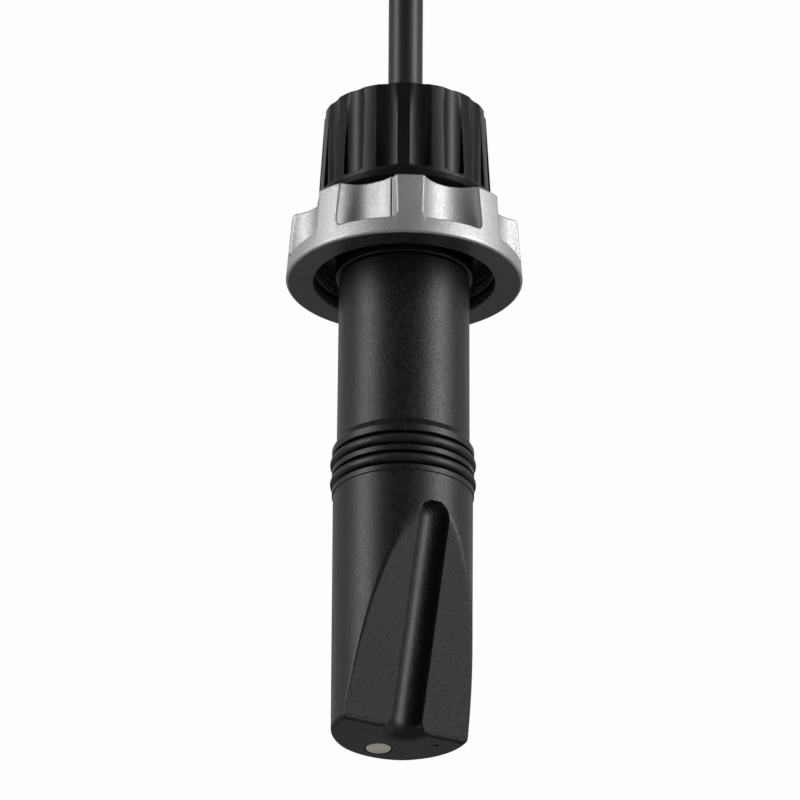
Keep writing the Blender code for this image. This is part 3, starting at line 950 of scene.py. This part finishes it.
def make_head():
    upper, lower = head_rows()
    columns = head_columns()
    rows = [[head_point(angle, r, z, False) for angle in columns] for r, z in upper]
    rows += [[head_point(angle, r, z, True) for angle in columns] for r, z in lower]
    bm = grid(rows, ring=False, ends=True)
    finishes = [moulded, milled, groove_painted_fill]
    head = make_piece("grooved_head", bm, finishes, "probe", ["sensor_head"])
    step, below = TIP_Z + 0.0036, TIP_Z - 0.001
    cut_away(head, [(0.0011, -0.0770), (0.0011, step), (0.0036, step), (0.0036, below)], CONTACT_PLACE)
    cut_away(head, [(0.0009, TIP_Z + 0.0002), (0.0009, below)], MARK_PLACE)
    normal_of_flat = FACE_OUT * math.cos(FACE_LEAN) - Vector((0, 0, math.sin(FACE_LEAN)))
    # Flat faces take the milled finish. Faces sunk in the groove take the lighter black, which paints in
    # the fill light that the groove lacks.
    for face in head.data.polygons:
        if face.center.z >= CUTS_TOP_Z:
            continue
        flat = face.normal.dot(normal_of_flat) > math.cos(math.radians(12))
        off_centre = abs(face.center.dot(FACE_SIDE))
        out = face.center.dot(FACE_OUT)
        sunk = face_depth(face.center.z) - out > 0.0002 and out > -0.5 * HEAD_R
        if flat and off_centre > 0.9 * GROOVE_R:
            face.material_index = 1
        elif sunk and off_centre < GROOVE_R and face.normal.z > -0.8:
            face.material_index = 2
    head.data.set_sharp_from_angle(angle=math.radians(50))
    return head


head = make_head()
print("head faces:", len(head.data.polygons), "over columns:", len(head_columns()))

# %% [markdown]
# ## The contact in the tip
#
# A small metal disc sits flush in the tip, with its stem running up inside the head to a lead. Only
# its turned face shows, with a fine gap round it.

# %% Contact
CONTACT_R = 0.0033
button = [
    (0.0008, -0.0760, 0.0002), (0.0008, -0.1329, 0), (CONTACT_R, -0.1329, 0.0002),
    (CONTACT_R, TIP_Z, 0.0003), (0.0004, TIP_Z, 0),
]
lathe(
    "tip_contact", button, contact_metal, "probe", ["contact_button"],
    centre=CONTACT_PLACE, columns=64, solid=True,
)
print("contact, mm across:", round(2000 * CONTACT_R, 1))

# %% [markdown]
# ## Connector
#
# The far end of the cable is a moulded circular connector: a ribbed boot that keeps the cable from
# kinking, a grip body with shallow flats, and a knurled metal coupling nut round the contact insert.

# %% Connector boot, body and nut
BOOT_FOOT, CONNECTOR_TOP = 0.0920, 0.1390
BOOT_R, BOOT_TOP_R = 0.0054, 0.0078
KNURL_FOOT, KNURL_TOP, KNURL_DEPTH = 0.1251, 0.1380, 0.00035


def boot_outline():
    """A tapering sleeve with five ribs, closed over the cable's end."""
    outline = [(0.0002, 0.1095, 0), (BOOT_TOP_R, 0.1095, 0.0005)]
    ribs = 5
    low, high = 0.0935, 0.1080
    for k in range(ribs):
        top = high - (high - low) * k / ribs
        radius = BOOT_R + (BOOT_TOP_R - BOOT_R) * (top - BOOT_FOOT) / 0.0175
        outline += [
            (radius, top, 0.0003), (radius - 0.0009, top - 0.0004, 0.0002),
            (radius - 0.0010, top - 0.0013, 0.0002), (radius - 0.0003, top - 0.0017, 0.0003),
        ]
    outline += [
        (BOOT_R, BOOT_FOOT, 0.0003), (GLAND_R, BOOT_FOOT, 0), (GLAND_R, 0.0983, 0), (0.0002, 0.0983, 0),
    ]
    return outline


def ribbed_row(r, z, columns, ribs, depth, power=1.0):
    """A level ring of points whose radius dips by depth between ribs."""
    row = []
    for turn in circle(columns):
        reach = r - depth * (0.5 - 0.5 * math.cos(ribs * turn)) ** power
        row.append((reach * math.sin(turn), -reach * math.cos(turn), z))
    return row


lathe(
    "cable_boot", boot_outline(), rubber, "probe", ["connector_boot"], columns=96,
    solid=True,
)


def make_grip():
    """The connector's body, whose side has twelve shallow flats between two heights."""
    outline = [
        (0.0002, 0.1098, 0), (0.0081, 0.1098, 0.0006), (0.0081, 0.1240, 0.0005), (0.0059, 0.1240, 0.0002),
        (0.0059, 0.1288, 0), (0.0065, 0.1288, 0.0002), (0.0065, 0.1300, 0.0002), (0.0059, 0.1300, 0),
        (0.0059, 0.1330, 0.0003), (0.0052, 0.1330, 0.0002), (0.0052, 0.1260, 0), (0.0002, 0.1260, 0),
    ]
    points = rounded(outline, loop=False)
    rows = []
    for (r0, z0), (r1, z1) in zip(points, points[1:] + points[-1:]):
        steps = 6 if abs(z1 - z0) > 0.004 else 1
        for k in range(steps):
            r, z = r0 + (r1 - r0) * k / steps, z0 + (z1 - z0) * k / steps
            share = smooth_step(z, 0.1112, 0.1118) * (1 - smooth_step(z, 0.1226, 0.1232))
            rows.append(ribbed_row(r, z, 192, 12, 0.0007 * share * smooth_step(r, 0.0074, 0.0078), 0.7))
    skin = grid(rows, ring=False, ends=True)
    return make_piece("connector_grip", skin, [gloss], "probe", ["connector_body"])


def make_coupling_nut():
    """The turned nut. The rows added below its upper corner are the ones that the knurl is cut in."""
    outline = [
        (0.0062, 0.1270, 0), (0.0076, 0.1270, 0), (0.0076, 0.1243, 0.0002), (0.0083, 0.1248, 0.0003),
        (0.0083, 0.1385, 0.0003), (0.0078, CONNECTOR_TOP, 0.0002), (0.0069, CONNECTOR_TOP, 0.0002),
        (0.0069, 0.1284, 0), (0.0062, 0.1284, 0),
    ]
    rows = []
    for r, z in rounded(outline):
        if z > KNURL_TOP and r > 0.0082:
            rows += [knurled_row(r, height) for height in (0.1252, 0.1314, 0.1376)]
        rows.append(knurled_row(r, z))
    return make_piece(
        "coupling_nut", grid(rows), [nickel], "connector_nut", ["connector_nut"]
    )


def knurled_row(r, z):
    share = smooth_step(r, 0.0081, 0.0083) if KNURL_FOOT < z < KNURL_TOP else 0.0
    return ribbed_row(r, z, 216, 36, share * KNURL_DEPTH)


make_grip()
make_coupling_nut()
print("connector, mm long:", round(1000 * (CONNECTOR_TOP - BOOT_FOOT), 1))

# %% Connector insert and pins
PINS = 4
PIN_CIRCLE = 0.0024
insert_black = make_moulded("insert_black", base=0.014, roughness=0.5, grain=0.0003, depth=0.00001)
disc = [(0.0002, 0.1345, 0), (0.0049, 0.1345, 0.0003), (0.0049, 0.1263, 0), (0.0002, 0.1263, 0)]
insert = lathe(
    "pin_insert", disc, insert_black, "probe", ["connector_insert"], columns=64, solid=True
)
pin = [(0.0001, 0.1293, 0), (0.0005, 0.1293, 0), (0.0005, 0.1380, 0.0004), (0.0001, 0.1380, 0)]
for k in range(PINS):
    turn = math.radians(45 + 90 * k)
    place = (PIN_CIRCLE * math.cos(turn), PIN_CIRCLE * math.sin(turn))
    cut_away(insert, [(0.0008, 0.1290), (0.0008, 0.1400)], place, columns=24)
    lathe(
        f"contact_pin_{k + 1}", pin, gold, "probe", [f"connector_pin_{k + 1}"], centre=place,
        columns=24, solid=True,
    )
print("pins:", PINS)

# %% [markdown]
# ## Cable jacket
#
# The jacket is extruded, so its texture runs along the cable: very long, faint streaks under a soft
# shine. The streaks come from noise whose places are squeezed along the axis.

# %% Cable finish, and the cable on the probe's body
def make_jacket(name, base=0.005):
    finish = make_plastic(name, 0.42)
    streaks = finish.noise(0.0007, detail=3.0, place=finish.stretched(1.0, 1.0, 0.03))
    matt = finish.noise(0.00035, detail=2.0)
    cloud = finish.noise(0.008, detail=3.0)
    colours = (base, base, base), (2.4 * base, 2.4 * base, 2.5 * base)
    tone = finish.blend(0.5 * streaks + 0.3 * matt, *colours)
    finish.wear(Base_Color=tone, Roughness=0.36 + 0.10 * cloud + 0.06 * matt)
    finish.relief(0.5 * streaks + 0.5 * matt, 0.00002)
    return finish.material


jacket = make_jacket("extruded_jacket")
cable.data.materials.append(jacket)
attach(cable, "probe")
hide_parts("cable")
connector_pieces = ["cable_boot", "connector_grip", "connector_ring", "coupling_nut", "pin_insert"]
connector_pieces += [f"contact_pin_{k + 1}" for k in range(PINS)]
print("cable, mm:", round(1000 * (CABLE_TOP - CABLE_FOOT)))

# %% [markdown]
# ## What is inside
#
# The board, its parts and the wires keep the frame's own shapes, which are right for them. They only
# need finishes: a board with copper tracks under green mask, moulded blocks, a tinned can, and the
# four wire colours.

# %% Inner finishes
def make_board(name):
    finish = Finish(name, Metallic=0.0, Roughness=0.35)
    upright = finish.node("Mapping", Vector=finish.place, Rotation=(math.pi / 2, 0, 0))
    tracks = finish.node(
        "TexBrick", {"offset": 0.5}, out="Fac", Vector=upright, Scale=420.0, Mortar_Size=0.06,
        Brick_Width=1.6, Row_Height=0.5,
    )
    weave = finish.noise(0.0008, detail=3.0)
    green = finish.blend(weave, (0.006, 0.055, 0.022), (0.010, 0.090, 0.036))
    finish.wear(Base_Color=finish.blend(0.8 * tracks, green, (0.030, 0.190, 0.070)))
    finish.wear(Roughness=0.30 + 0.12 * weave)
    finish.relief(tracks, 0.00004)
    return finish.material


def make_wire(name, colour):
    finish = Finish(name, Metallic=0.0)
    scuffs = finish.noise(0.0006, detail=3.0)
    faded = tuple(min(1.0, 1.3 * part + 0.02) for part in colour)
    finish.wear(Base_Color=finish.blend(scuffs, colour, faded), Roughness=0.38 + 0.15 * scuffs)
    finish.relief(scuffs, 0.000008)
    return finish.material


component = make_moulded("component_black", base=0.018, roughness=0.55, grain=0.0003, depth=0.00001)
inner = {
    "circuit_board": make_board("board_green"),
    "terminal_block": component,
    "signal_chip": component,
    "cable_core": component,
    "board_support_upper": component,
    "board_support_lower": component,
    "shield_can": steel,
    "conductor_1": make_wire("wire_brown", (0.12, 0.045, 0.018)),
    "conductor_2": make_wire("wire_white", (0.72, 0.72, 0.70)),
    "conductor_3": make_wire("wire_blue", (0.02, 0.07, 0.38)),
    "conductor_4": make_wire("wire_red", (0.42, 0.016, 0.014)),
    "contact_lead": make_wire("lead_white", (0.68, 0.68, 0.66)),
}
for node_name, finish_material in inner.items():
    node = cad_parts[node_name]
    if not node.material_slots:
        node.data.materials.append(None)
    for place in node.material_slots:
        place.material = finish_material
print("inner nodes finished:", len(inner))

# %% [markdown]
# ## Light and surroundings
#
# Black plastic shows its shape only by what it reflects, so the light is two tall soft boxes well out
# to the sides. Each draws a soft upright band on the tube and leaves its middle dark. Two weaker pairs
# stand behind, so that the back has bands of its own. The surroundings look pale but give little light,
# or the whole probe would turn grey. They are brightest low down behind the probe, which draws a thin
# light edge on the tube, and straight below, which lifts the tip and the nut's underside.

# %% Studio
# name, azimuth in degrees, distance, height, height aimed at, (width, length), power in watts
SOFT_BOXES = (
    ("box_right", 65, 1.2, 0.35, 0.35, (0.34, 1.7), 24.0),
    ("box_left", -67, 1.2, 0.35, 0.35, (0.36, 1.7), 18.5),
    ("box_rear_right", 118, 1.2, 0.35, 0.35, (0.34, 1.7), 1.8),
    ("box_rear_left", -118, 1.2, 0.35, 0.35, (0.34, 1.7), 1.8),
    ("box_back_right", 150, 1.6, 0.9, 0.55, (0.5, 1.0), 1.5),
    ("box_back_left", -150, 1.6, 0.9, 0.55, (0.5, 1.0), 1.5),
)
FRONT_LIGHT, BACK_LIGHT, UNDER_LIGHT = 0.055, 0.40, 0.20
FLOOR_Z = -1.9


def soft_box(name, azimuth, distance, height, aim, size, power):
    lamp = bpy.data.lights.new(name, "AREA")
    lamp.shape = "RECTANGLE"
    lamp.size, lamp.size_y = size
    lamp.energy = power
    box = bpy.data.objects.new(name, lamp)
    scene.collection.objects.link(box)
    turn = math.radians(azimuth)
    box.location = (distance * math.sin(turn), -distance * math.cos(turn), height)
    look_at(box, Vector((0, 0, aim)))
    box.visible_camera = False


def make_surroundings():
    """The camera sees a pale background, and everything else sees a dim one that varies."""
    world = bpy.data.worlds.new("studio")
    world.use_nodes = True
    scene.world = world
    tree = world.node_tree
    tree.nodes.clear()
    seen = tree.nodes.new("ShaderNodeLightPath")
    pale = tree.nodes.new("ShaderNodeBackground")
    pale.inputs["Color"].default_value = (0.985, 0.985, 0.985, 1.0)
    dim = tree.nodes.new("ShaderNodeBackground")
    where = tree.nodes.new("ShaderNodeTexCoord")
    parts = tree.nodes.new("ShaderNodeSeparateXYZ")
    tree.links.new(where.outputs["Generated"], parts.inputs[0])
    back = Varying(tree, parts.outputs[1])
    down = 0.0 - Varying(tree, parts.outputs[2])
    behind = back.rise(0.30, 0.80) * down.rise(0.0, 0.25)
    under = down.rise(0.35, 0.80)
    light = FRONT_LIGHT + (BACK_LIGHT - FRONT_LIGHT) * behind + UNDER_LIGHT * under
    tree.links.new(light.socket, dim.inputs["Strength"])
    either = tree.nodes.new("ShaderNodeMixShader")
    out = tree.nodes.new("ShaderNodeOutputWorld")
    tree.links.new(seen.outputs["Is Camera Ray"], either.inputs[0])
    tree.links.new(dim.outputs[0], either.inputs[1])
    tree.links.new(pale.outputs[0], either.inputs[2])
    tree.links.new(either.outputs[0], out.inputs["Surface"])


def make_floor():
    bm = bmesh.new()
    bmesh.ops.create_grid(bm, x_segments=1, y_segments=1, size=40.0)
    mesh = bpy.data.meshes.new("floor")
    bm.to_mesh(mesh)
    bm.free()
    finish = Finish("floor_pale", Base_Color=(0.80, 0.80, 0.80), Roughness=0.9)
    finish.wear(Emission_Color=(0.90, 0.90, 0.90), Emission_Strength=1.0)
    mesh.materials.append(finish.material)
    floor = bpy.data.objects.new("floor", mesh)
    floor.location.z = FLOOR_Z
    scene.collection.objects.link(floor)
    floor.visible_diffuse = False
    floor.visible_glossy = False


for box in SOFT_BOXES:
    soft_box(*box)
make_surroundings()
make_floor()
scene.view_settings.view_transform = "Standard"
